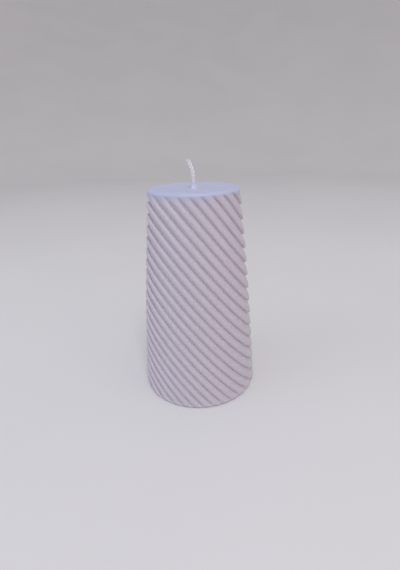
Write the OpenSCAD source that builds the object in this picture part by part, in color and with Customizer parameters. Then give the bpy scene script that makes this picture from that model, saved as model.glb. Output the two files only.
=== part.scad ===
// Spiral pillar candle: a moulded wax pillar with slanting ribs, a braided wick
// that runs through it and a metal sustainer that holds the wick's foot.
// Millimetres. The origin is the middle of the base and +Z points up the wick.

/* [Wax pillar] */
// Height of the wax, from the base to the flat top
body_h = 150; // [90:1:200]
// Diameter over the rib crests at the base
base_d = 88; // [60:0.5:120]
// Diameter over the rib crests at the top
top_d = 62; // [50:0.5:110]
// How far the side swells past a straight taper at mid height
belly = 1; // [0:0.1:2]
// Radius of the rounded edge round the foot
foot_r = 2.4; // [1:0.1:4]

/* [Slanting ribs] */
// Height from one rib to the next, straight up the side
rib_pitch = 9; // [6:0.5:14]
// Slope of the planes that the ribs lie in, in degrees from level
rib_slope = 51.8; // [20:0.2:56]
// Direction in which the ribs fall, in degrees from +X
rib_fall_dir = 6.8; // [0:0.2:359.8]
// Height above the base at which a valley's plane meets the axis
rib_shift = 5.1; // [0:0.1:9]
// Depth of the valley between two ribs
rib_depth = 2; // [0.6:0.1:2.4]
// Fullness of a rib: more gives a flatter crest and a narrower valley
rib_fullness = 3; // [2:0.1:4]

/* [Top] */
// Radius of the rounded rim
rim_r = 2.2; // [1:0.1:4]
// Width of the flat border between the rim and the dish
border_w = 4; // [1:0.5:8]
// Depth of the shallow dish that the setting wax leaves
dish_depth = 1.2; // [0.4:0.1:2]
// Diameter of the wax that creeps up round the wick, at its foot
creep_d = 4.8; // [4.5:0.1:9]
// Height of the creeping wax above the floor of the dish
creep_h = 5; // [3:0.5:6]
// Width of the creeping wax round the wick, at its upper edge
creep_lip = 0.2; // [0.15:0.05:0.4]

/* [Wick] */
// Diameter of the braid inside the wax
wick_d = 2.2; // [1.5:0.1:3.2]
// Upright length of the free wick above the wax
wick_upright = 6; // [6:0.5:14]
// Radius of the bend above the upright length
wick_bend_r = 20; // [6:0.5:30]
// Angle of the bend, in degrees
wick_bend = 28; // [5:1:60]
// Straight length from the bend to the cut end
wick_end_len = 2.5; // [2:0.5:12]
// Angle of the cut away from square across the wick, in degrees
wick_cut = 28; // [0:1:40]
// Direction of the lean about the axis, in degrees from +X
wick_lean_dir = 180; // [0:5:355]
// Width of the splayed cut end
wick_end_w = 2.8; // [1.5:0.1:4]
// Thickness of the splayed cut end
wick_end_t = 1.7; // [0.8:0.1:3]

/* [Wick sustainer] */
// Diameter of the disc
tab_d = 20; // [14:0.5:34]
// Thickness of the sheet metal
tab_t = 0.4; // [0.2:0.05:0.8]
// Height of the neck above the disc
neck_h = 6; // [4:0.5:10]
// Radius of the flare from the disc into the neck
neck_flare_r = 1.2; // [0.6:0.1:1.8]
// Depth of the crimp that grips the wick
crimp_depth = 0.15; // [0.05:0.05:0.3]
// Height of the crimp, with its two slopes
crimp_h = 1.2; // [0.8:0.1:1.4]
// Distance from the crimp to the neck's upper edge
crimp_edge = 0.7; // [0.4:0.1:0.8]
// Gap between the disc and the surface that the candle stands on
tab_lift = 0.3; // [0.1:0.05:1]

/* [Fits] */
// Gap round the wick and round the sustainer, on the radius
fit_gap = 0.05; // [0.02:0.01:0.1]

/* [Hidden] */

$fn = 96;
base_r = base_d / 2;
top_r = top_d / 2;
wick_r = wick_d / 2;

// How far a cut runs past the face that it opens
cut_over = 1;

// Points round each slanting ring, rings across each rib and steps round the foot and the rim
ring_points = 48;
rib_rings = 4;
foot_steps = 4;
side_steps = 6;
rim_steps = 6;
// How far the rings across a rib gather towards its valleys, as a share of the rib
valley_gather = 0.08;
// Rounds of working out where a slanting ring meets the tapered side
slant_rounds = 6;
// How far the round trim stands clear of the crests
trim_gap = 0.3;

// First and last valley: their slanting planes clear the base and the top all round
rib_fall = tan(rib_slope);
first_valley = floor((-rib_fall * side_r(0) - rib_shift) / rib_pitch) - 1;
last_valley = ceil((body_h + rib_fall * top_r - rib_shift) / rib_pitch) + 1;

// Levels and radii of the sustainer and of the hole that it sits in
bore_r = wick_r + fit_gap;
neck_r = bore_r + tab_t;
tab_r = tab_d / 2;
tab_top = tab_lift + tab_t;
neck_top = tab_top + neck_h;
flare_r = neck_r + neck_flare_r;
flare_z = tab_top + neck_flare_r;
flare_steps = 5;
crimp_top = neck_top - crimp_edge;
crimp_foot = crimp_top - crimp_h;
crimp_slope = crimp_h / 3;
// Heights at which the crimp bends, with its depth at each
crimp_bends = [
    [crimp_foot, 0],
    [crimp_foot + crimp_slope, crimp_depth],
    [crimp_top - crimp_slope, crimp_depth],
    [crimp_top, 0]
];

// Sphere that hollows the dish, and the wax that creeps up out of it
dish_r = top_r - rim_r - border_w;
dish_ball_r = (dish_r * dish_r + dish_depth * dish_depth) / (2 * dish_depth);
dish_floor = body_h - dish_depth;
creep_foot_r = creep_d / 2;
creep_top_r = bore_r + creep_lip;
creep_top = dish_floor + creep_h;
creep_steps = 6;

// Points round the wick and rings along its straight, bent and leaning lengths
wick_sides = 12;
bore_steps = 20;
bend_steps = 5;
end_steps = 3;
bend_len = wick_bend_r * wick_bend * PI / 180;
free_len = wick_upright + bend_len + wick_end_len;

// Radius over the rib crests at a height
function side_r(z) = base_r + (top_r - base_r) * z / body_h
    + 4 * belly * z * (body_h - z) / (body_h * body_h);

// Place of a ring across its rib, from 0 at one valley to 1 at the next
function across(i) = i / rib_rings - valley_gather * sin(360 * i / rib_rings);

// Dip of a rib below its crest at a place across it
function rib_dip(u) = rib_depth * pow(abs(2 * u - 1), rib_fullness);

// Height of a slanting ring at an angle a from the fall, for a plane that meets the axis at height c
function slant_z(c, a, dip, z, rounds) =
    rounds < 1 ? z : slant_z(c, a, dip, c - rib_fall * (side_r(z) - dip) * cos(a), rounds - 1);

// Points of one slanting ring, a dip below the crests
function slant_ring(c, dip) = [
    for (i = [0 : ring_points - 1])
        let (
            a = 360 * i / ring_points,
            z = slant_z(c, a, dip, c, slant_rounds),
            r = side_r(z) - dip
        )
        [r * cos(a + rib_fall_dir), r * sin(a + rib_fall_dir), z]
];

// Triangles between rings of n points, lowest ring first
function skin(rings, n) = [
    for (j = [0 : rings - 2], i = [0 : n - 1])
        let (k = (i + 1) % n, low = j * n, high = low + n)
        each [[low + i, high + i, high + k], [low + i, high + k, low + k]]
];

// Triangles that close the first and last ring on two middle points
function caps(rings, n) = [
    for (i = [0 : n - 1])
        let (k = (i + 1) % n, high = (rings - 1) * n)
        each [[rings * n, i, k], [rings * n + 1, high + k, high + i]]
];

// Solid through rings of n points each
module loft(rings, n, first_mid, last_mid) {
    polyhedron(
        points = concat([for (r = rings) each r], [first_mid, last_mid]),
        faces = concat(skin(len(rings), n), caps(len(rings), n)),
        convexity = 4
    );
}

// Stack of slanting ribs, longer than the pillar at both ends
module slanting_ribs() {
    rings = [
        for (k = [first_valley : last_valley - 1], i = [0 : rib_rings - 1])
            slant_ring(rib_shift + rib_pitch * (k + across(i)), rib_dip(across(i)))
    ];
    loft(
        rings, ring_points, [0, 0, rib_shift + rib_pitch * first_valley],
        [0, 0, rib_shift + rib_pitch * (last_valley - 1 + across(rib_rings - 1))]
    );
}

// Round trim: base, rounded foot, tapered side, rounded rim and flat top
module trim() {
    foot_mid = side_r(foot_r) + trim_gap - foot_r;
    rim_start = body_h - rim_r;
    rim_mid = side_r(rim_start) + trim_gap - rim_r;
    foot = [
        for (i = [0 : foot_steps])
            let (a = 90 * i / foot_steps)
            [foot_mid + foot_r * sin(a), foot_r * (1 - cos(a))]
    ];
    side = [
        for (i = [1 : side_steps - 1])
            let (z = foot_r + (rim_start - foot_r) * i / side_steps)
            [side_r(z) + trim_gap, z]
    ];
    rim = [
        for (i = [0 : rim_steps])
            let (a = 90 * i / rim_steps)
            [rim_mid + rim_r * cos(a), rim_start + rim_r * sin(a)]
    ];
    rotate_extrude()
        polygon(concat([[0, 0]], foot, side, rim, [[0, body_h]]));
}

// Solid pillar with its ribs, rim and foot
module ribbed_pillar() {
    intersection() {
        slanting_ribs();
        trim();
    }
}

// Ball that hollows the dish in the top
module top_dish() {
    translate([0, 0, dish_floor + dish_ball_r])
        sphere(dish_ball_r, $fn = 360);
}

// Wax that creeps up the wick, with a hollow flank and a root in the dish
module creep() {
    flank = [
        for (i = [0 : creep_steps])
            let (t = i / creep_steps)
            [creep_top_r + (creep_foot_r - creep_top_r) * pow(1 - t, 3), dish_floor + creep_h * t]
    ];
    root = [[0, dish_floor - cut_over], [creep_foot_r, dish_floor - cut_over]];
    rotate_extrude()
        polygon(concat(root, flank, [[0, creep_top]]));
}

// Hole for the wick, the sustainer's neck with its flare, and its disc
module wick_hole() {
    translate([0, 0, -cut_over])
        cylinder(h = creep_top + 2 * cut_over, r = bore_r);
    translate([0, 0, -cut_over])
        cylinder(h = neck_top + cut_over, r = neck_r + fit_gap);
    translate([0, 0, tab_top])
        cylinder(h = neck_flare_r, r1 = flare_r + fit_gap, r2 = neck_r + fit_gap);
    translate([0, 0, -cut_over])
        cylinder(h = tab_top + cut_over, r = tab_r + fit_gap);
}

// Wax pillar, moulded in one pour
module wax_body() {
    color([0.88, 0.87, 0.93])
        difference() {
            union() {
                difference() {
                    ribbed_pillar();
                    top_dish();
                }
                creep();
            }
            wick_hole();
        }
}

// Place on the wick's middle line: [distance along the lean, height, tilt], for a
// length s above the wax
function wick_line(s) =
    let (b = min(max(s - wick_upright, 0), bend_len), e = max(s - wick_upright - bend_len, 0))
    let (t = wick_bend * b / bend_len)
    [
        wick_bend_r * (1 - cos(t)) + e * sin(t),
        body_h + min(s, wick_upright) + wick_bend_r * sin(t) + e * cos(t),
        t
    ];

// Ring of the wick for a length s above the wax, w wide along the lean and t thick,
// turned back by an angle from square across the wick
function wick_ring(s, w, t, back = 0) =
    let (p = wick_line(s), tilt = p[2] - back, d = wick_lean_dir)
    [
        for (i = [0 : wick_sides - 1])
            let (
                a = 360 * i / wick_sides,
                x = p[0] + w / 2 * cos(a) * cos(tilt),
                y = t / 2 * sin(a)
            )
            [x * cos(d) - y * sin(d), x * sin(d) + y * cos(d), p[1] - w / 2 * cos(a) * sin(tilt)]
    ];

// Ring of the free wick, which splays and turns towards its cut end
function free_ring(s) =
    let (
        splay = pow(max(s - wick_upright, 0) / (free_len - wick_upright), 2),
        turned = max(s - free_len + wick_end_len, 0) / wick_end_len
    )
    wick_ring(
        s, wick_d + (wick_end_w - wick_d) * splay, wick_d + (wick_end_t - wick_d) * splay,
        wick_cut * turned
    );

// Wick, from the sustainer's underside through the wax to the cut end
module wick() {
    foot = [wick_ring(tab_lift - body_h, wick_d, wick_d)];
    crimped = [for (c = crimp_bends) wick_ring(c[0] - body_h, wick_d - 2 * c[1], wick_d - 2 * c[1])];
    cast_in = [
        for (i = [0 : bore_steps])
            wick_ring((neck_top - body_h) * (1 - i / bore_steps), wick_d, wick_d)
    ];
    bent = [for (i = [0 : bend_steps]) free_ring(wick_upright + bend_len * i / bend_steps)];
    leaning = [for (i = [1 : end_steps]) free_ring(free_len - wick_end_len * (1 - i / end_steps))];
    tip = wick_line(free_len);
    color([0.95, 0.94, 0.92])
        loft(
            concat(foot, crimped, cast_in, bent, leaning), wick_sides, [0, 0, tab_lift],
            [tip[0] * cos(wick_lean_dir), tip[0] * sin(wick_lean_dir), tip[1]]
        );
}

// Arc of the flare at a distance r from its middle, from the disc (0) to the neck (90)
function flare(r, from, to) = [
    for (i = [0 : flare_steps])
        let (a = from + (to - from) * i / flare_steps)
        [flare_r - r * sin(a), flare_z - r * cos(a)]
];

// Sustainer: sheet-metal disc drawn up into a neck that is crimped on the wick
module wick_sustainer() {
    outside = [for (c = crimp_bends) [neck_r - c[1], c[0]]];
    inside = [for (i = [len(crimp_bends) - 1 : -1 : 0]) [bore_r - crimp_bends[i][1], crimp_bends[i][0]]];
    color([0.76, 0.77, 0.78])
        rotate_extrude()
            polygon(concat(
                [[tab_r, tab_lift], [tab_r, tab_top]],
                flare(neck_flare_r, 0, 90),
                outside,
                [[neck_r, neck_top], [bore_r, neck_top]],
                inside,
                flare(neck_flare_r + tab_t, 90, 0)
            ));
}

wax_body();
wick();
wick_sustainer();
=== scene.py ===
import math

import bmesh
import bpy
from bpy.props import FloatProperty, FloatVectorProperty, PointerProperty
from mathutils import Matrix, Vector


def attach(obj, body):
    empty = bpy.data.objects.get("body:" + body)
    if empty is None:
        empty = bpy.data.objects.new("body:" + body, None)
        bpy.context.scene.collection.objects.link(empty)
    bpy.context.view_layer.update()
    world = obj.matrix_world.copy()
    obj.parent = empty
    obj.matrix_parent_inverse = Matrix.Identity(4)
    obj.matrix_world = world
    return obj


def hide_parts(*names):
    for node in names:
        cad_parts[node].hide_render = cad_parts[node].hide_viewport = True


bl_info = {
    "name": "Spiral Pillar Candle",
    "version": (1, 0, 0),
    "blender": (4, 5, 0),
    "location": "View3D > Sidebar > Candle",
    "description": "Dresses a ribbed pillar candle: poured wax, plaited wick, tinned sustainer and stage",
    "category": "Object",
}

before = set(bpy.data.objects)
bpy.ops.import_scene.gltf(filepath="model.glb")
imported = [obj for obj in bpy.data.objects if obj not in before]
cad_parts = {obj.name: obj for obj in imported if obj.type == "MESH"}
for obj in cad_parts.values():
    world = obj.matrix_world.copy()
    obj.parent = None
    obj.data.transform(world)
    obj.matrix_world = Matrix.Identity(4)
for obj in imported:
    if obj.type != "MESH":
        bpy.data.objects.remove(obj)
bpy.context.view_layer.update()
BODY = "root"
MM = 0.001
# Points round the axis on the plain turned faces
TURNED_POINTS = 96


def length(name, text, millimetres):
    """A length property with its default in millimetres."""
    return FloatProperty(name=name, description=text, default=millimetres * MM, unit="LENGTH", precision=5)


def colour(name, text, value):
    """A linear colour property."""
    return FloatVectorProperty(
        name=name, description=text, default=value, subtype="COLOR", size=3, min=0, max=1,
    )


class CandleWaxSettings(bpy.types.PropertyGroup):
    """Sizes and colours of the wax pillar."""

    height: length("Height", "Height of the wax from the base to the flat top", 150)
    base_width: length("Base width", "Diameter over the rib crests at the base", 88)
    top_width: length("Top width", "Diameter over the rib crests at the top", 62)
    swell: length("Swell", "How far the side swells past a straight taper at mid height", 1)
    foot_radius: length("Foot radius", "Radius of the rounded edge round the foot", 2.4)
    rib_pitch: length("Rib pitch", "Height from one rib to the next, straight up the side", 9)
    rib_slope: FloatProperty(
        name="Rib slope", description="Slope of the planes that the ribs lie in",
        default=math.radians(51.8), subtype="ANGLE",
    )
    rib_direction: FloatProperty(
        name="Rib direction", description="Direction about the axis in which the ribs fall",
        default=math.radians(6.8), subtype="ANGLE",
    )
    rib_shift: length("Rib shift", "Height above the base at which a valley's plane meets the axis", 5.1)
    rib_depth: length("Rib depth", "Depth of the valley between two ribs", 2)
    rib_fullness: FloatProperty(
        name="Rib fullness", default=3.0, min=1.5,
        description="How full a rib is: more gives a flatter crest and a narrower valley",
    )
    rib_softness: FloatProperty(
        name="Valley softness", description="How round the bottom of a valley is", default=1.0, min=0, max=2,
    )
    foot_fade: length("Foot fade", "Height over which the ribs rise out of the smooth foot", 4)
    rim_fade: length("Rim fade", "Height over which the ribs sink into the smooth rim", 7)
    rim_radius: length("Rim radius", "Radius of the rounded rim", 2.2)
    border: length("Border", "Width of the flat border between the rim and the dish", 4)
    dish_depth: length("Dish depth", "Depth of the dish that the setting wax leaves", 1.2)
    creep_width: length("Creep width", "Diameter of the wax that creeps up round the wick", 4.8)
    creep_height: length("Creep height", "Height of the creeping wax above the floor of the dish", 5)
    creep_lip: length("Creep lip", "Width of the creeping wax at its upper edge", 0.2)
    unevenness: length("Unevenness", "How far the poured skin strays from its mould", 0.06)
    # Painted sky light: how far the bluer tint painted on the top reaches down the side
    bloom_and_sky_tint: length("Bloom", "How far the bloom of the top reaches down the side", 8)
    crest_colour: colour("Crest colour", "Colour of the wax on the rib crests", (0.55, 0.51, 0.59))
    # Painted light: the valleys are painted lighter and warmer than the crests, as bounce light scattered
    # into their shade
    valley_bounce_colour: colour("Valley colour", "Colour of the wax in the valleys", (0.665, 0.58, 0.625))
    # Painted sky light: the top is painted bluer for the cool light falling on it from above
    sky_lit_top_colour: colour("Top colour", "Colour of the bloomed wax on the top", (0.47, 0.495, 0.68))
    # Painted light: the wax creeping up the wick is painted lighter and bluer, standing in for light that the
    # thin shell loses
    creep_lift_colour: colour("Creep colour", "Colour of the thin wax that creeps up the wick", (0.65, 0.67, 0.85))


class CandleWickSettings(bpy.types.PropertyGroup):
    """Sizes and colours of the wick and its sustainer."""

    diameter: length("Diameter", "Diameter of the braid inside the wax", 2.2)
    upright: length("Upright length", "Upright length of the free wick above the wax", 6)
    bend_radius: length("Bend radius", "Radius of the bend above the upright length", 20)
    bend: FloatProperty(
        name="Bend", description="Angle of the bend", default=math.radians(28), subtype="ANGLE",
    )
    end_length: length("End length", "Straight length from the bend to the cut end", 2.5)
    end_width: length("End width", "Width of the splayed cut end", 2.8)
    lean: FloatProperty(
        name="Lean direction", description="Direction of the lean about the axis",
        default=math.radians(180), subtype="ANGLE",
    )
    waist: FloatProperty(
        name="Waist", description="Share by which the free wick is tight just above the wax",
        default=0.17, min=0,
    )
    knuckle: FloatProperty(
        name="Knuckle", description="Share by which the free wick is loose where it bends",
        default=0.12, min=0,
    )
    strand: length("Strand", "Diameter of one strand of the plait", 0.82)
    strand_swell: FloatProperty(
        name="Strand swell", description="Share by which a strand swells at the cut end", default=0.4, min=0,
    )
    plait_depth: length("Plait depth", "How far a strand weaves to the front and the back", 0.44)
    pitch: length("Plait pitch", "Length of wick in which a strand crosses over and back", 7)
    fibre: length("Fibre", "Length of the cotton fibres that stand out of the cut", 0.45)
    fibre_density: FloatProperty(
        name="Fibre density", description="Fibres on a square millimetre of the cut", default=55, min=0,
    )
    gap: length("Fit gap", "Gap round the wick and the sustainer, on the radius", 0.05)
    tab_width: length("Sustainer width", "Diameter of the sustainer's disc", 20)
    sheet: length("Sheet thickness", "Thickness of the sustainer's sheet metal", 0.4)
    tab_lift: length("Sustainer lift", "Gap between the disc and the surface below", 0.3)
    neck: length("Neck height", "Height of the sustainer's neck above the disc", 6)
    flare: length("Flare radius", "Radius of the flare from the disc into the neck", 1.2)
    crimp_depth: length("Crimp depth", "Depth of the crimp that grips the wick", 0.15)
    crimp_height: length("Crimp height", "Height of the crimp with its two slopes", 1.2)
    crimp_edge: length("Crimp edge", "Distance from the crimp to the neck's upper edge", 0.7)
    cotton_colour: colour("Cotton colour", "Colour of the waxed cotton", (0.84, 0.85, 0.90))
    metal_colour: colour("Metal colour", "Colour of the tinned sheet", (0.66, 0.67, 0.69))


class CandleStageSettings(bpy.types.PropertyGroup):
    """Camera and floor."""

    camera_place: FloatVectorProperty(
        name="Camera", description="Place of the camera", default=(0.00214, -0.23337, 0.17929),
        subtype="TRANSLATION", size=3, precision=5,
    )
    pitch: FloatProperty(
        name="Pitch", description="Angle by which the camera looks down", default=0.4067, subtype="ANGLE",
    )
    roll: FloatProperty(
        name="Roll", description="Tilt of the camera about its line of sight",
        default=-0.0318, subtype="ANGLE",
    )
    lens: FloatProperty(name="Lens", description="Focal length for a 36 mm long side", default=21.37, min=1)
    floor_colour: colour("Floor colour", "Colour of the floor and the backdrop", (0.70, 0.69, 0.72))


# Node trees


def plug(tree, socket, value):
    """Feed a node's input from a socket or set it to a plain value."""
    if isinstance(value, bpy.types.NodeSocket):
        tree.links.new(value, socket)
    else:
        socket.default_value = value


def add(tree, kind, inputs=None, **settings):
    """Add a node, set its own settings and feed its inputs by name or index."""
    node = tree.nodes.new(kind)
    for name, value in settings.items():
        setattr(node, name, value)
    for name, value in (inputs or {}).items():
        plug(tree, node.inputs[name], value)
    return node


def calc(tree, operation, *values):
    """One step of arithmetic on numbers."""
    return add(tree, "ShaderNodeMath", dict(enumerate(values)), operation=operation).outputs[0]


def vector(tree, operation, *values):
    """One step of arithmetic on vectors."""
    return add(tree, "ShaderNodeVectorMath", dict(enumerate(values)), operation=operation).outputs[0]


def dotted(tree, first, second):
    """The dot product of two vectors."""
    return add(tree, "ShaderNodeVectorMath", {0: first, 1: second}, operation="DOT_PRODUCT").outputs["Value"]


def joined(tree, x, y, z):
    """A vector from three numbers."""
    return add(tree, "ShaderNodeCombineXYZ", {"X": x, "Y": y, "Z": z}).outputs[0]


def ranged(tree, value, from_min, from_max, to_min, to_max, smooth=True):
    """A number carried from one range to another, and kept inside it."""
    node = add(tree, "ShaderNodeMapRange", {
        "Value": value, "From Min": from_min, "From Max": from_max, "To Min": to_min, "To Max": to_max,
    }, interpolation_type="SMOOTHSTEP" if smooth else "LINEAR")
    return node.outputs["Result"]


def named_value(tree, name, kind="FLOAT"):
    """A number or a vector stored on the points of the mesh."""
    return add(tree, "GeometryNodeInputNamedAttribute", {"Name": name}, data_type=kind).outputs["Attribute"]


def scaled(tree, direction, amount):
    """A vector made longer or shorter by a number."""
    return add(tree, "ShaderNodeVectorMath", {0: direction, "Scale": amount}, operation="SCALE").outputs[0]


def stored(tree, geometry, name, value, kind="FLOAT"):
    """Geometry with a number or a vector kept on its points."""
    return add(tree, "GeometryNodeStoreNamedAttribute", {
        "Geometry": geometry, "Name": name, "Value": value,
    }, data_type=kind, domain="POINT").outputs[0]


def shifted(tree, geometry, offset):
    """Geometry with its points moved by a vector."""
    return add(tree, "GeometryNodeSetPosition", {"Geometry": geometry, "Offset": offset}).outputs[0]


def above(tree, value, limit):
    """True where a number is over a limit."""
    return add(tree, "FunctionNodeCompare", {
        "A": value, "B": limit,
    }, data_type="FLOAT", operation="GREATER_THAN").outputs[0]


SOCKETS = {
    "length": "NodeSocketFloat",
    "number": "NodeSocketFloat",
    "material": "NodeSocketMaterial",
}


def new_tree(name, inputs):
    """A geometry tree with a geometry input, named inputs of given kinds and a geometry output."""
    tree = bpy.data.node_groups.new(name, "GeometryNodeTree")
    tree.interface.new_socket("Geometry", in_out="INPUT", socket_type="NodeSocketGeometry")
    for label, kind in inputs.items():
        tree.interface.new_socket(label, in_out="INPUT", socket_type=SOCKETS[kind])
    tree.interface.new_socket("Geometry", in_out="OUTPUT", socket_type="NodeSocketGeometry")
    return tree, tree.nodes.new("NodeGroupInput").outputs


def close_tree(tree, geometry, material, crease=math.radians(55)):
    """End a tree with smooth shading between sharp creases, real geometry and its material."""
    smooth = add(tree, "GeometryNodeSetShadeSmooth", {"Geometry": geometry}).outputs[0]
    bend = add(tree, "GeometryNodeInputMeshEdgeAngle").outputs[0]
    creased = add(tree, "GeometryNodeSetShadeSmooth", {
        "Geometry": smooth, "Selection": above(tree, bend, crease), "Shade Smooth": False,
    }, domain="EDGE").outputs[0]
    real = add(tree, "GeometryNodeRealizeInstances", {"Geometry": creased})
    painted = add(tree, "GeometryNodeSetMaterial", {"Geometry": real.outputs[0], "Material": material})
    out = tree.nodes.new("NodeGroupOutput")
    tree.links.new(painted.outputs[0], out.inputs[0])


def grow(name, start_mesh, tree, values):
    """Run a tree on a start mesh and keep the result as a plain mesh object at the origin."""
    seed = bpy.data.objects.new(name + "_start", start_mesh)
    bpy.context.scene.collection.objects.link(seed)
    modifier = seed.modifiers.new("Rule", "NODES")
    modifier.node_group = tree
    for item in tree.interface.items_tree:
        if item.in_out == "INPUT" and item.name in values:
            modifier[item.identifier] = values[item.name]
    missing = set(values) - {item.name for item in tree.interface.items_tree}
    if missing:
        raise RuntimeError(f"{tree.name} has no input {sorted(missing)}")
    seed.update_tag()
    evaluated = seed.evaluated_get(bpy.context.evaluated_depsgraph_get())
    mesh = bpy.data.meshes.new_from_object(evaluated)
    mesh.name = name
    seed.modifiers.remove(modifier)
    bpy.data.objects.remove(seed)
    if not mesh.polygons:
        raise RuntimeError(f"{name} came out empty")
    piece = bpy.data.objects.new(name, mesh)
    bpy.context.scene.collection.objects.link(piece)
    return piece


# Wax


def even_ring(count, start=0.0):
    """Evenly spaced angles round the axis."""
    return [start + math.tau * j / count for j in range(count)]


def gathered(count, gather=0.6):
    """Places across a rib from 0 towards 1, gathered towards the valleys on both sides."""
    return [u - gather * math.sin(math.tau * u) / math.tau for u in (j / count for j in range(count))]


def ease(t):
    """Smooth step from 0 to 1."""
    t = min(max(t, 0), 1)
    return t * t * (3 - 2 * t)


def span(start, end, steps):
    """Evenly spaced values after start, up to end."""
    return [start + (end - start) * i / steps for i in range(1, steps + 1)]


def side_radius(wax, z):
    """Radius over the rib crests at a height."""
    base, top = wax.base_width / 2, wax.top_width / 2
    return base + (top - base) * z / wax.height + 4 * wax.swell * z * (wax.height - z) / wax.height ** 2


class Shell:
    """A mesh put together from closed rows of points, each with values that the ribs and the wax read."""

    def __init__(self):
        self.points, self.faces, self.values = [], [], []

    def row(self, places, values):
        """Add a row of points."""
        start = len(self.points)
        self.points.extend(places)
        self.values.extend(values)
        return list(range(start, len(self.points)))

    def ring(self, radius, z, angles, values):
        """Add a level row round the axis."""
        places = [(radius * math.cos(a), radius * math.sin(a), z) for a in angles]
        return self.row(places, [values] * len(angles))

    def bridge(self, low, high):
        """Close the gap between two rows of equal length."""
        for j in range(len(low)):
            k = (j + 1) % len(low)
            self.faces.append((low[j], low[k], high[k], high[j]))

    def zip(self, low, high):
        """Close the gap between two rows of any length that both start at the smallest angle."""
        def angle(row, j):
            x, y, _ = self.points[row[j % len(row)]]
            return math.atan2(y, x) + math.tau * (j // len(row))
        i = j = 0
        while i < len(low) or j < len(high):
            first, second = low[i % len(low)], high[j % len(high)]
            if j == len(high) or (i < len(low) and angle(low, i + 1) < angle(high, j + 1)):
                i += 1
                self.faces.append((first, low[i % len(low)], second))
            else:
                j += 1
                self.faces.append((first, high[j % len(high)], second))

    def mesh(self, name, labels):
        """The finished mesh, with its faces turned outwards and the values kept on its points."""
        mesh = bpy.data.meshes.new(name)
        mesh.from_pydata(self.points, [], self.faces)
        work = bmesh.new()
        work.from_mesh(mesh)
        bmesh.ops.recalc_face_normals(work, faces=work.faces)
        work.to_mesh(mesh)
        work.free()
        for i, label in enumerate(labels):
            data = mesh.attributes.new(label, "FLOAT", "POINT").data
            data.foreach_set("value", [values[i] for values in self.values])
        return mesh


def rib_values(wax, z):
    """Share of the rib depth and of the skin's unevenness at a height, where no thin wax is."""
    risen = ease(z / wax.foot_fade)
    return risen * ease((wax.height - z) / wax.rim_fade), risen, 0


def slant_point(wax, level, a, rounds=8):
    """Point over the crests where a slanting plane that meets the axis at a level meets the side."""
    fall, z = math.tan(wax.rib_slope) * math.cos(a), level
    for _ in range(rounds):
        z = level - fall * side_radius(wax, z)
    r, around = side_radius(wax, z), a + wax.rib_direction
    return r * math.cos(around), r * math.sin(around), z


def slanting_side(wax, shell, rim_start, columns=160, rows=12):
    """Side of the pillar in slanting rows, cut level at the foot and the rim. Returns the two cut rows."""
    fall, merged = math.tan(wax.rib_slope), 0.001 * MM
    first = math.floor((-fall * side_radius(wax, 0) - wax.rib_shift) / wax.rib_pitch) - 1
    last = math.ceil((wax.height + fall * wax.top_width / 2 - wax.rib_shift) / wax.rib_pitch) + 1
    levels = [wax.rib_shift + wax.rib_pitch * (k + u) for k in range(first, last) for u in gathered(rows)]
    side = bmesh.new()
    stack = [[side.verts.new(slant_point(wax, level, a)) for a in even_ring(columns)] for level in levels]
    for low, high in zip(stack, stack[1:]):
        for j in range(columns):
            k = (j + 1) % columns
            side.faces.new((low[j], low[k], high[k], high[j]))
    for z, outwards in ((wax.foot_radius, -1), (rim_start, 1)):
        bmesh.ops.bisect_plane(
            side, geom=side.verts[:] + side.edges[:] + side.faces[:], dist=merged,
            plane_co=(0, 0, z), plane_no=(0, 0, outwards), clear_outer=True,
        )
    side.verts.index_update()
    places = [tuple(v.co) for v in side.verts]
    row = shell.row(places, [rib_values(wax, z) for _, _, z in places])
    shell.faces.extend(tuple(row[v.index] for v in face.verts) for face in side.faces)
    ends = {row[v.index] for edge in side.edges if edge.is_boundary for v in edge.verts}
    side.free()
    around = sorted(ends, key=lambda i: math.atan2(shell.points[i][1], shell.points[i][0]))
    middle = wax.height / 2
    foot = [i for i in around if shell.points[i][2] < middle]
    rim = [i for i in around if shell.points[i][2] > middle]
    return foot, rim


def rounded_edge(wax, shell, row, radius, start, upwards, steps=8):
    """Rounded foot or rim from a cut row of the side inwards. Returns its last row."""
    angles = [math.atan2(shell.points[i][1], shell.points[i][0]) for i in row]
    outside = side_radius(wax, start)
    for a in span(0, math.pi / 2, steps):
        z = start + upwards * radius * math.sin(a)
        following = shell.ring(outside - radius * (1 - math.cos(a)), z, angles, rib_values(wax, z))
        shell.bridge(row, following)
        row = following
    return row


def top_profile(wax, wick):
    """Border, dish and the wax that creeps up the wick and soaks into it."""
    toe, core, brim = 1.2 * MM, 0.3 * MM, 0.1 * MM
    border_rows, dish_rows, creep_rows = 4, 18, 16
    creep_curve, toe_curve = 3, 12
    floor = wax.height - wax.dish_depth
    bore = wick.diameter / 2 + wick.gap
    edge = wax.top_width / 2 - wax.rim_radius
    creep_top = floor + wax.creep_height
    tight = free_girth(wick, creep_top - wax.height) * wick.diameter / 2
    dish, foot, lip = edge - wax.border, wax.creep_width / 2, tight + wax.creep_lip / 2
    rows = [(r, wax.height, 0, 1, 0) for r in span(edge, dish, border_rows)]
    for r in span(dish, foot + toe, dish_rows)[:-1]:
        rows.append((r, wax.height - wax.dish_depth * (0.5 + 0.5 * math.cos(math.pi * r / dish)), 0, 1, 0))
    for t in [0] + span(0, 1, creep_rows):
        spread = (foot - lip) * (1 - t) ** creep_curve + toe * (1 - t) ** toe_curve
        rows.append((lip + spread, floor + wax.creep_height * t, 0, 1 - t, ease(3 * t)))
    rows.append((tight, creep_top + brim, 0, 0, 1))
    rows.append((core, creep_top, 0, 0, 1))
    rows.append((core, floor - 2 * toe, 0, 0, 1))
    rows.append((bore, floor - 3 * toe, 0, 0, 1))
    return rows


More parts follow.
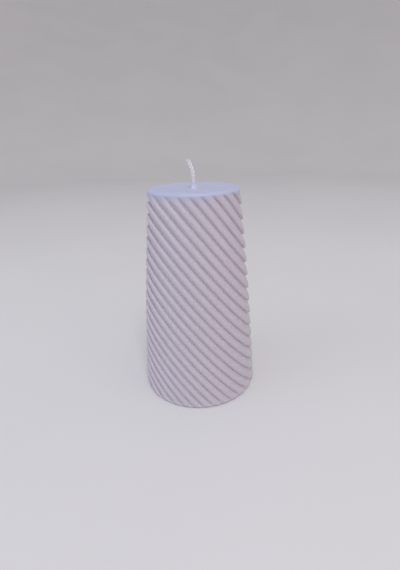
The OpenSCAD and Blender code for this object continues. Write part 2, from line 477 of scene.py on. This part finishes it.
def seat_profile(wax, wick):
    """Bore, the sustainer's seat and the base."""
    bore = wick.diameter / 2 + wick.gap
    disc_top = wick.tab_lift + wick.sheet
    neck_top = disc_top + wick.neck
    neck = bore + wick.sheet + wick.gap
    seat = wick.tab_width / 2 + wick.gap
    ring = wax.base_width / 2 - wax.foot_radius
    corners = [
        (bore, neck_top), (neck, neck_top), (neck, disc_top + wick.flare), (neck + wick.flare, disc_top),
        (seat, disc_top), (seat, 0), ((seat + ring) / 2, 0), (ring - wax.foot_radius, 0),
    ]
    return [(r, z, 0, 0, 0) for r, z in corners]


def rib_tree():
    """Tree that presses slanting ribs into a smooth pillar."""
    tree, given = new_tree("Slanting ribs", {
        "Pitch": "length", "Slope": "number", "Direction": "number", "Shift": "length", "Depth": "length",
        "Fullness": "number", "Softness": "number", "Unevenness": "length", "Material": "material",
    })
    place = add(tree, "GeometryNodeInputPosition").outputs[0]
    x, y, z = add(tree, "ShaderNodeSeparateXYZ", {0: place}).outputs
    outwards = vector(tree, "NORMALIZE", joined(tree, x, y, 0.0))
    way = joined(tree, calc(tree, "COSINE", given["Direction"]), calc(tree, "SINE", given["Direction"]), 0.0)
    fall = calc(tree, "TANGENT", given["Slope"])

    # Across each rib, from -1 at one valley to 1 at the next
    drop = calc(tree, "MULTIPLY", dotted(tree, place, way), fall)
    level = calc(tree, "SUBTRACT", calc(tree, "ADD", z, drop), given["Shift"])
    across = calc(tree, "FRACT", calc(tree, "DIVIDE", level, given["Pitch"]))
    across = calc(tree, "MULTIPLY_ADD", across, 2.0, -1.0)

    # Full crest that falls off towards both valleys
    rise = calc(tree, "SUBTRACT", 1.0, calc(tree, "POWER", calc(tree, "ABSOLUTE", across), given["Fullness"]))

    # Round the bottom of the valley
    soft = given["Softness"]
    square = calc(tree, "MULTIPLY", soft, soft)
    rounded = calc(tree, "SUBTRACT", calc(tree, "SQRT", calc(tree, "MULTIPLY_ADD", rise, rise, square)), soft)
    whole = calc(tree, "SUBTRACT", calc(tree, "SQRT", calc(tree, "ADD", square, 1.0)), soft)
    crest = calc(tree, "DIVIDE", rounded, whole)
    dip = calc(tree, "MULTIPLY", calc(tree, "SUBTRACT", 1.0, crest), named_value(tree, "rib_share"))

    # The skin shrinks unevenly from its mould
    noise = add(tree, "ShaderNodeTexNoise", {
        "Vector": place, "Scale": 70.0, "Detail": 3.0,
    }, noise_dimensions="3D")
    shrink = calc(tree, "MULTIPLY", calc(tree, "SUBTRACT", noise.outputs[0], 1.0), given["Unevenness"])
    shrink = calc(tree, "MULTIPLY", shrink, named_value(tree, "skin"))
    normal = add(tree, "GeometryNodeInputNormal").outputs[0]

    # A valley goes in along its own slanting plane
    rise_inwards = scaled(tree, (0.0, 0.0, 1.0), calc(tree, "MULTIPLY", dotted(tree, outwards, way), fall))
    inwards = vector(tree, "SUBTRACT", rise_inwards, outwards)
    press = scaled(tree, inwards, calc(tree, "MULTIPLY", dip, given["Depth"]))
    poured = stored(tree, given["Geometry"], "crest", calc(tree, "SUBTRACT", 1.0, dip))
    shaped = shifted(tree, poured, vector(tree, "ADD", press, scaled(tree, normal, shrink)))
    close_tree(tree, shaped, given["Material"])
    return tree


# Materials


def new_material(name):
    """A material with its node tree, its shader and the piece's own coordinates."""
    material = bpy.data.materials.new(name)
    material.use_nodes = True
    tree = material.node_tree
    shader = tree.nodes["Principled BSDF"]
    place = add(tree, "ShaderNodeTexCoord").outputs["Object"]
    return material, tree, shader, place


def mixed(tree, factor, first, second, blend="MIX"):
    """A colour between two colours."""
    node = add(tree, "ShaderNodeMix", {"Factor": factor}, data_type="RGBA", blend_type=blend)
    for socket, value in zip([s for s in node.inputs if s.type == "RGBA"], (first, second)):
        plug(tree, socket, value)
    return next(s for s in node.outputs if s.type == "RGBA")


def grained(tree, place, scale, detail=3.0, roughness=0.5):
    """A noise pattern in the piece's own coordinates, from 0 to 1."""
    node = add(tree, "ShaderNodeTexNoise", {
        "Vector": place, "Scale": scale, "Detail": detail, "Roughness": roughness,
    }, noise_dimensions="3D")
    return node.outputs[0]


def opaque(rgb, gain=1.0):
    """A colour with its alpha, made lighter or darker."""
    return (*(min(1.0, c * gain) for c in rgb), 1.0)


def wax_material(wax):
    """Translucent candle wax: cool crests, valleys painted lighter and warmer as bounce light in their shade,
    a top painted bluer as sky light, creeping wax painted lighter, and a satin skin.
    """
    material, tree, shader, place = new_material("candle_wax")
    crest = add(tree, "ShaderNodeAttribute", attribute_name="crest").outputs["Fac"]
    # Painted light: towards the valleys the crest colour gives way to the lighter, warmer valley colour,
    # painted bounce light in their shade
    depth = ranged(tree, crest, 0.0, 0.5, 0.0, 1.0)
    body = mixed(tree, depth, opaque(wax.valley_bounce_colour), opaque(wax.crest_colour))
    cloud = grained(tree, place, scale=45.0, detail=4.0, roughness=0.6)
    cloud = ranged(tree, cloud, 0.35, 0.7, 0.0, 0.5)
    body = mixed(tree, cloud, body, opaque(wax.crest_colour, 1.05))
    # Painted sky light: the top and the side just below it turn bluer, with slight random patches
    z = add(tree, "ShaderNodeSeparateXYZ", {0: place}).outputs["Z"]
    high = ranged(tree, z, wax.height - wax.bloom_and_sky_tint, wax.height - 0.1 * wax.bloom_and_sky_tint, 0.0, 1.0, smooth=False)
    high = calc(tree, "POWER", high, 2.0)
    patch = grained(tree, place, scale=90.0, detail=4.0, roughness=0.6)
    patch = ranged(tree, patch, 0.3, 0.7, 0.94, 1.0)
    body = mixed(tree, calc(tree, "MULTIPLY", high, patch), body, opaque(wax.sky_lit_top_colour))
    frost = grained(tree, place, scale=380.0, roughness=0.7)
    frost = ranged(tree, frost, 0.55, 0.75, 0.0, 0.12)
    body = mixed(tree, frost, body, opaque(wax.crest_colour, 1.1))
    # Painted light: the creeping wax gets its lighter painted colour
    thin = add(tree, "ShaderNodeAttribute", attribute_name="thin").outputs["Fac"]
    body = mixed(tree, thin, body, opaque(wax.creep_lift_colour))
    plug(tree, shader.inputs["Base Color"], body)
    fine = grained(tree, place, scale=900.0, detail=4.0, roughness=0.6)
    plug(tree, shader.inputs["Roughness"], ranged(tree, fine, 0.2, 0.8, 0.42, 0.56, smooth=False))
    shader.inputs["Subsurface Weight"].default_value = 0.35
    shader.inputs["Subsurface Radius"].default_value = (1.0, 0.95, 0.92)
    shader.inputs["Subsurface Scale"].default_value = 0.003
    shader.inputs["Specular IOR Level"].default_value = 0.4
    shader.inputs["IOR"].default_value = 1.44
    bump = add(tree, "ShaderNodeBump", {"Strength": 0.03, "Distance": 0.0002, "Height": fine})
    plug(tree, shader.inputs["Normal"], bump.outputs[0])
    return material


def cotton_material(wick):
    """Waxed cotton yarn: pale and translucent, with painted shade darkening the furrows between the fibres
    and a dull shine.
    """
    material, tree, shader, _ = new_material("waxed_cotton")
    along = add(tree, "ShaderNodeAttribute", attribute_name="along").outputs["Fac"]
    around = add(tree, "ShaderNodeAttribute", attribute_name="around").outputs["Fac"]
    spot = joined(tree, calc(tree, "MULTIPLY", around, 14.0), calc(tree, "MULTIPLY", along, 420.0), 0.0)
    fibre = grained(tree, spot, scale=3.0, roughness=0.6)
    # Painted shade and highlight: the low places of the fibre pattern, the furrows, are darker and the high
    # places lighter
    shade = ranged(tree, fibre, 0.3, 0.65, 0.0, 1.0)
    body = mixed(tree, shade, opaque(wick.cotton_colour, 0.9), opaque(wick.cotton_colour, 1.06))
    plug(tree, shader.inputs["Base Color"], body)
    plug(tree, shader.inputs["Roughness"], ranged(tree, fibre, 0.2, 0.8, 0.5, 0.72, smooth=False))
    shader.inputs["Subsurface Weight"].default_value = 0.6
    shader.inputs["Subsurface Radius"].default_value = (1.0, 1.0, 1.0)
    shader.inputs["Subsurface Scale"].default_value = 0.001
    bump = add(tree, "ShaderNodeBump", {"Strength": 0.5, "Distance": 0.00008, "Height": fibre})
    plug(tree, shader.inputs["Normal"], bump.outputs[0])
    return material


def tinned_material(wick):
    """Tinned sheet steel: bright metal with faint turned lines and a dull bloom."""
    material, tree, shader, place = new_material("tinned_sheet")
    x, y, _ = add(tree, "ShaderNodeSeparateXYZ", {0: place}).outputs
    radius = calc(tree, "SQRT", calc(tree, "ADD", calc(tree, "MULTIPLY", x, x), calc(tree, "MULTIPLY", y, y)))
    spread = joined(tree, calc(tree, "MULTIPLY", radius, 9000.0), 0.0, 0.0)
    lines = grained(tree, spread, scale=1.0, detail=2.0)
    bloom_and_sky_tint = grained(tree, place, scale=260.0, detail=4.0, roughness=0.6)
    dull = ranged(tree, bloom_and_sky_tint, 0.4, 0.7, 0.0, 1.0)
    body = mixed(tree, dull, opaque(wick.metal_colour, 0.9), opaque(wick.metal_colour, 1.05))
    plug(tree, shader.inputs["Base Color"], body)
    shader.inputs["Metallic"].default_value = 1.0
    skin = calc(tree, "ADD", lines, bloom_and_sky_tint)
    plug(tree, shader.inputs["Roughness"], ranged(tree, skin, 0.6, 1.4, 0.24, 0.42, smooth=False))
    bump = add(tree, "ShaderNodeBump", {"Strength": 0.15, "Distance": 0.0001, "Height": lines})
    plug(tree, shader.inputs["Normal"], bump.outputs[0])
    return material


def paper_material(stage):
    """Plain matt paper of the floor and the backdrop."""
    material, tree, shader, place = new_material("stage_paper")
    tone = ranged(tree, grained(tree, place, scale=3.0), 0.3, 0.7, 0.0, 1.0)
    body = mixed(tree, tone, opaque(stage.floor_colour, 0.985), opaque(stage.floor_colour, 1.015))
    plug(tree, shader.inputs["Base Color"], body)
    shader.inputs["Roughness"].default_value = 0.9
    shader.inputs["Specular IOR Level"].default_value = 0.1
    return material


class CANDLE_OT_pour_wax(bpy.types.Operator):
    """Make the ribbed wax pillar"""

    bl_idname = "candle.pour_wax"
    bl_label = "Pour Wax"

    def execute(self, context):
        wax, wick = context.scene.candle_wax, context.scene.candle_wick
        rim_start = wax.height - wax.rim_radius
        shell = Shell()
        low, high = slanting_side(wax, shell, rim_start)
        low = rounded_edge(wax, shell, low, wax.foot_radius, wax.foot_radius, -1)
        row = rounded_edge(wax, shell, high, wax.rim_radius, rim_start, 1)
        close_rows = shell.zip
        for r, z, *values in top_profile(wax, wick) + seat_profile(wax, wick):
            following = shell.ring(r, z, even_ring(TURNED_POINTS, -math.pi), values)
            close_rows(row, following)
            row, close_rows = following, shell.bridge
        shell.zip(row, low)
        start = shell.mesh("wax_start", ("rib_share", "skin", "thin"))
        pillar = grow("wax_pillar", start, rib_tree(), {
            "Pitch": wax.rib_pitch, "Slope": wax.rib_slope, "Direction": wax.rib_direction,
            "Shift": wax.rib_shift, "Depth": wax.rib_depth, "Fullness": wax.rib_fullness,
            "Softness": wax.rib_softness, "Unevenness": wax.unevenness, "Material": wax_material(wax),
        })
        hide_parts("wax_body")
        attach(pillar, BODY)
        return {"FINISHED"}


# Wick


def wick_line(wax, wick, s):
    """Place on the wick's middle line, a length s above the wax: distance along the lean and height."""
    bend_length = wick.bend_radius * wick.bend
    b = min(max(s - wick.upright, 0), bend_length)
    e = max(s - wick.upright - bend_length, 0)
    t = b / wick.bend_radius
    return (
        wick.bend_radius * (1 - math.cos(t)) + e * math.sin(t),
        wax.height + min(s, wick.upright) + wick.bend_radius * math.sin(t) + e * math.cos(t),
    )


def wick_end(wick):
    """Length of the free wick above the wax, up to the foot of the fibres in the cut."""
    return wick.upright + wick.bend_radius * wick.bend + wick.end_length - wick.fibre


def crimp_girth(wick, z):
    """Girth of the wick at a height, as a share that the sustainer's crimp leaves."""
    top = wick.tab_lift + wick.sheet + wick.neck - wick.crimp_edge
    inside = min(z - top + wick.crimp_height, top - z) / (wick.crimp_height / 3)
    return 1 - 2 * wick.crimp_depth / wick.diameter * min(max(inside, 0), 1)


def free_girth(wick, s):
    """Girth of the free wick, as a share, a length s above the wax: a tight waist, then a loose knuckle."""
    # Places above the top and reaches, in millimetres
    waist_place, waist_reach = 5, 2.5
    knuckle_place, knuckle_reach = 9.6, 1.8
    waist = (s / MM - waist_place) / waist_reach
    knuckle = (s / MM - knuckle_place) / knuckle_reach
    return 1 - wick.waist * math.exp(-waist ** 2) + wick.knuckle * math.exp(-knuckle ** 2)


def wick_start(wax, wick):
    """The wick's middle line as a chain of edges, with what the plait needs kept on its points."""
    end, foot = wick_end(wick), wick.tab_lift - wax.height
    step, cut_length = 0.45 * MM, 1.5 * MM
    count = math.ceil((end - foot) / step)
    lengths = [foot] + span(foot, end, count)
    places = [wick_line(wax, wick, s) for s in lengths]
    lean = (math.cos(wick.lean), math.sin(wick.lean))
    mesh = bpy.data.meshes.new("wick_start")
    points = [(lean[0] * out, lean[1] * out, z) for out, z in places]
    mesh.from_pydata(points, [(i, i + 1) for i in range(count)], [])
    kept = {
        "along": lengths,
        "level": [z for _, z in places],
        "splay": [(max(s - wick.upright, 0) / (end - wick.upright)) ** 2 for s in lengths],
        "girth": [crimp_girth(wick, z) * free_girth(wick, s) for s, (_, z) in zip(lengths, places)],
        "cut": [ease(1 - min(end - s, s - foot) / cut_length) for s in lengths],
    }
    for label, values in kept.items():
        mesh.attributes.new(label, "FLOAT", "POINT").data.foreach_set("value", values)
    return mesh


def yarn_ring(tree, diameter, yarns=5, points=4, lobe=0.1):
    """Outline of one strand: a ring of twisted yarns."""
    count = yarns * points
    ring = add(tree, "GeometryNodeCurvePrimitiveCircle", {"Resolution": count}, mode="RADIUS")
    plug(tree, ring.inputs["Radius"], calc(tree, "MULTIPLY", diameter, 0.5))
    step = calc(tree, "DIVIDE", add(tree, "GeometryNodeInputIndex").outputs[0], float(count))
    swell = calc(tree, "COSINE", calc(tree, "MULTIPLY", step, math.tau * yarns))
    spot = add(tree, "GeometryNodeInputPosition").outputs[0]
    lobes = scaled(tree, spot, calc(tree, "MULTIPLY_ADD", swell, lobe, 1 - lobe))
    ring = add(tree, "GeometryNodeSetPosition", {"Geometry": ring.outputs[0], "Position": lobes}).outputs[0]
    return stored(tree, ring, "around", step)


def cut_fibres(tree, strands, given):
    """Short cotton fibres that stand out of the cut ends of the strands."""
    below, tip, root, tilt = 0.02 * MM, 0.014 * MM, 0.03 * MM, 0.45
    shortest, longest = 0.3, 0.85
    cut = above(tree, named_value(tree, "along"), calc(tree, "SUBTRACT", given["End"], below))
    spots = add(tree, "GeometryNodeDistributePointsOnFaces", {
        "Mesh": strands, "Selection": cut, "Density": given["Fibre density"], "Seed": 11,
    }, distribute_method="RANDOM")
    fibre = add(tree, "GeometryNodeMeshCone", {
        "Vertices": 5, "Radius Top": tip, "Radius Bottom": root, "Depth": given["Fibre"],
    }).outputs["Mesh"]
    lean = add(tree, "FunctionNodeRandomValue", {"Seed": 12}, data_type="FLOAT_VECTOR")
    lean.inputs[0].default_value = (-tilt, -tilt, 0.0)
    lean.inputs[1].default_value = (tilt, tilt, 0.0)
    turn = add(tree, "FunctionNodeEulerToRotation", {"Euler": lean.outputs[0]}).outputs[0]
    turn = add(tree, "FunctionNodeRotateRotation", {
        "Rotation": spots.outputs["Rotation"], "Rotate By": turn,
    }, rotation_space="LOCAL").outputs[0]
    size = add(tree, "FunctionNodeRandomValue", {"Seed": 13}, data_type="FLOAT")
    size.inputs[2].default_value = shortest
    size.inputs[3].default_value = longest
    long = joined(tree, 1.0, 1.0, size.outputs[1])
    return add(tree, "GeometryNodeInstanceOnPoints", {
        "Points": spots.outputs["Points"], "Instance": fibre, "Rotation": turn, "Scale": long,
    }).outputs[0]


def plait_tree():
    """Tree that plaits three twisted strands along a line and cuts both ends level."""
    strand_count, end_flattening, yarn_turn = 3, 0.4, 0.09
    tree, given = new_tree("Plaited wick", {
        "Strand": "length", "Swell": "number", "Half width": "length", "End half width": "length",
        "Depth": "length", "Pitch": "length", "Lean": "number", "End": "length", "Fibre": "length",
        "Fibre density": "number", "Material": "material",
    })
    line = add(tree, "GeometryNodeMeshToCurve", {0: given["Geometry"]}).outputs[0]
    tangent = add(tree, "GeometryNodeInputTangent").outputs[0]
    line = stored(tree, line, "way", tangent, "FLOAT_VECTOR")
    lines = add(tree, "GeometryNodeDuplicateElements", {
        "Geometry": line, "Amount": strand_count,
    }, domain="SPLINE")
    along, splay, girth = (named_value(tree, name) for name in ("along", "splay", "girth"))
    way = named_value(tree, "way", "FLOAT_VECTOR")

    # Each strand swings from side to side once and through the plait twice in a pitch
    turn = calc(tree, "DIVIDE", along, given["Pitch"])
    share = calc(tree, "DIVIDE", lines.outputs["Duplicate Index"], float(strand_count))
    turn = calc(tree, "ADD", turn, share)
    turn = calc(tree, "MULTIPLY", turn, math.tau)
    width = ranged(tree, splay, 0.0, 1.0, given["Half width"], given["End half width"], smooth=False)
    width = calc(tree, "MULTIPLY", width, girth)
    sideways = calc(tree, "MULTIPLY", width, calc(tree, "SINE", turn))
    deep = calc(tree, "MULTIPLY", given["Depth"], calc(tree, "MULTIPLY_ADD", splay, -end_flattening, girth))
    through = calc(tree, "MULTIPLY", deep, calc(tree, "SINE", calc(tree, "MULTIPLY", turn, 2.0)))
    back = calc(tree, "MULTIPLY", calc(tree, "SINE", given["Lean"]), -1.0)
    across = joined(tree, back, calc(tree, "COSINE", given["Lean"]), 0.0)
    in_plane = vector(tree, "CROSS_PRODUCT", across, way)
    offset = vector(tree, "ADD", scaled(tree, in_plane, sideways), scaled(tree, across, through))
    plait = shifted(tree, lines.outputs[0], offset)
    twist = calc(tree, "DIVIDE", along, calc(tree, "MULTIPLY", given["Pitch"], -yarn_turn))
    plait = add(tree, "GeometryNodeSetCurveTilt", {0: plait, "Tilt": twist}).outputs[0]
    swollen = calc(tree, "MULTIPLY", girth, calc(tree, "MULTIPLY_ADD", splay, given["Swell"], 1.0))
    strands = add(tree, "GeometryNodeCurveToMesh", {
        "Curve": plait, "Profile Curve": yarn_ring(tree, given["Strand"]),
        "Scale": swollen, "Fill Caps": True,
    }).outputs[0]

    # Near both ends the rings turn until the cut lies level
    place = add(tree, "GeometryNodeInputPosition").outputs[0]
    z = add(tree, "ShaderNodeSeparateXYZ", {0: place}).outputs["Z"]
    climb = add(tree, "ShaderNodeSeparateXYZ", {0: way}).outputs["Z"]
    drop = calc(tree, "DIVIDE", calc(tree, "SUBTRACT", named_value(tree, "level"), z), climb)
    levelled = calc(tree, "MULTIPLY", drop, named_value(tree, "cut"))
    strands = shifted(tree, strands, scaled(tree, way, levelled))

    whole = add(tree, "GeometryNodeJoinGeometry")
    for part in (strands, cut_fibres(tree, strands, given)):
        tree.links.new(part, whole.inputs[0])
    close_tree(tree, whole.outputs[0], given["Material"])
    return tree


class CANDLE_OT_plait_wick(bpy.types.Operator):
    """Plait the wick from the sustainer to its cut end"""

    bl_idname = "candle.plait_wick"
    bl_label = "Plait Wick"

    def execute(self, context):
        wax, wick = context.scene.candle_wax, context.scene.candle_wick
        end_strand = wick.strand * (1 + wick.strand_swell)
        braid = grow("wick_braid", wick_start(wax, wick), plait_tree(), {
            "Strand": wick.strand, "Swell": wick.strand_swell,
            "Half width": (wick.diameter - wick.strand) / 2,
            "End half width": (wick.end_width - end_strand) / 2,
            "Depth": wick.plait_depth, "Pitch": wick.pitch, "Lean": wick.lean,
            "End": wick_end(wick), "Fibre": wick.fibre,
            "Fibre density": wick.fibre_density / MM ** 2, "Material": cotton_material(wick),
        })
        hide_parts("wick")
        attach(braid, BODY)
        return {"FINISHED"}


class CANDLE_OT_finish_sustainer(bpy.types.Operator):
    """Give the sustainer its tinned finish"""

    bl_idname = "candle.finish_sustainer"
    bl_label = "Finish Sustainer"

    def execute(self, context):
        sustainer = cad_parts["wick_sustainer"]
        sustainer.data.materials.clear()
        sustainer.data.materials.append(tinned_material(context.scene.candle_wick))
        return {"FINISHED"}


# Stage


def turned(name, loop, angles):
    """An open mesh turned about the axis through (radius, height) rows."""
    segments = len(angles)
    points = [(r * math.cos(a), r * math.sin(a), z) for r, z in loop for a in angles]
    faces = []
    for low in range(0, segments * (len(loop) - 1), segments):
        for j in range(segments):
            k = (j + 1) % segments
            faces.append((low + j, low + k, low + segments + k, low + segments + j))
    mesh = bpy.data.meshes.new(name)
    mesh.from_pydata(points, [], faces)
    return mesh


def lamp(name, place, target, size, watts, tint):
    """A square soft lamp that faces a point."""
    data = bpy.data.lights.new(name, "AREA")
    data.shape = "SQUARE"
    data.size = size
    data.energy = watts
    data.color = tint
    light = bpy.data.objects.new(name, data)
    light.location = place
    light.rotation_euler = (Vector(target) - Vector(place)).to_track_quat("-Z", "Y").to_euler()
    bpy.context.scene.collection.objects.link(light)


class CANDLE_OT_set_stage(bpy.types.Operator):
    """Set the floor, the lamps and the camera"""

    bl_idname = "candle.set_stage"
    bl_label = "Set Stage"

    def execute(self, context):
        stage = context.scene.candle_stage
        middle_hole, near, flat, bend, far = 0.001, 0.4, 1.6, 1.2, 7.0
        steep, bend_rows = math.radians(35), 10
        sweep = [(middle_hole, 0), (near, 0), (flat, 0)]
        for a in span(0, steep, bend_rows):
            sweep.append((flat + bend * math.sin(a), bend * (1 - math.cos(a))))
        r, z = sweep[-1]
        sweep.append((far, z + (far - r) * math.tan(steep)))
        mesh = turned("stage_floor", list(reversed(sweep)), even_ring(TURNED_POINTS))
        mesh.materials.append(paper_material(stage))
        mesh.polygons.foreach_set("use_smooth", [True] * len(mesh.polygons))
        floor = bpy.data.objects.new("stage_floor", mesh)
        context.scene.collection.objects.link(floor)

        middle = (0, 0, 0.08)
        lamp("lamp_above", (0.12, -1.05, 1.9), middle, size=0.75, watts=18.0, tint=(0.94, 0.97, 1.0))
        lamp("lamp_left", (-1.2, -0.4, 0.7), middle, size=0.9, watts=2.4, tint=(0.66, 0.85, 1.0))
        lamp("lamp_right", (1.2, -0.7, 0.35), middle, size=0.9, watts=2.4, tint=(1.0, 0.77, 0.64))
        world = bpy.data.worlds.new("soft_room")
        world.use_nodes = True
        sky = world.node_tree.nodes["Background"]
        sky.inputs["Color"].default_value = (1.0, 0.97, 0.96, 1.0)
        sky.inputs["Strength"].default_value = 0.56
        context.scene.world = world

        data = bpy.data.cameras.new("photo_camera")
        data.sensor_fit = "VERTICAL"
        data.sensor_height = 36.0
        data.lens = stage.lens
        data.clip_start = 0.01
        camera = bpy.data.objects.new("photo_camera", data)
        context.scene.collection.objects.link(camera)
        look = Matrix.Rotation(math.pi / 2 - stage.pitch, 4, "X") @ Matrix.Rotation(stage.roll, 4, "Z")
        camera.matrix_world = Matrix.Translation(stage.camera_place) @ look
        context.scene.camera = camera
        context.scene.view_settings.view_transform = "Standard"
        return {"FINISHED"}


class CANDLE_PT_panel(bpy.types.Panel):
    """Settings and steps of the candle"""

    bl_idname = "CANDLE_PT_panel"
    bl_label = "Spiral Pillar Candle"
    bl_space_type = "VIEW_3D"
    bl_region_type = "UI"
    bl_category = "Candle"

    def draw(self, context):
        for step, group in STEPS:
            box = self.layout.box()
            box.operator(step)
            if group:
                settings = getattr(context.scene, group)
                for name in settings.bl_rna.properties.keys():
                    if name not in {"rna_type", "name"}:
                        box.prop(settings, name)


STEPS = (
    ("candle.set_stage", "candle_stage"),
    ("candle.pour_wax", "candle_wax"),
    ("candle.plait_wick", "candle_wick"),
    ("candle.finish_sustainer", None),
)
GROUPS = {
    "candle_wax": CandleWaxSettings,
    "candle_wick": CandleWickSettings,
    "candle_stage": CandleStageSettings,
}
CLASSES = (
    *GROUPS.values(),
    CANDLE_OT_set_stage,
    CANDLE_OT_pour_wax,
    CANDLE_OT_plait_wick,
    CANDLE_OT_finish_sustainer,
    CANDLE_PT_panel,
)


def register():
    """Register the classes and hang their settings on the scene."""
    for cls in CLASSES:
        bpy.utils.register_class(cls)
    for name, group in GROUPS.items():
        setattr(bpy.types.Scene, name, PointerProperty(type=group))


def unregister():
    """Take the settings and the classes away again."""
    for name in GROUPS:
        delattr(bpy.types.Scene, name)
    for cls in reversed(CLASSES):
        bpy.utils.unregister_class(cls)


def main():
    """Make the stage and every piece."""
    register()
    bpy.ops.candle.set_stage()
    bpy.ops.candle.pour_wax()
    bpy.ops.candle.plait_wick()
    bpy.ops.candle.finish_sustainer()


if __name__ == "__main__":
    main()
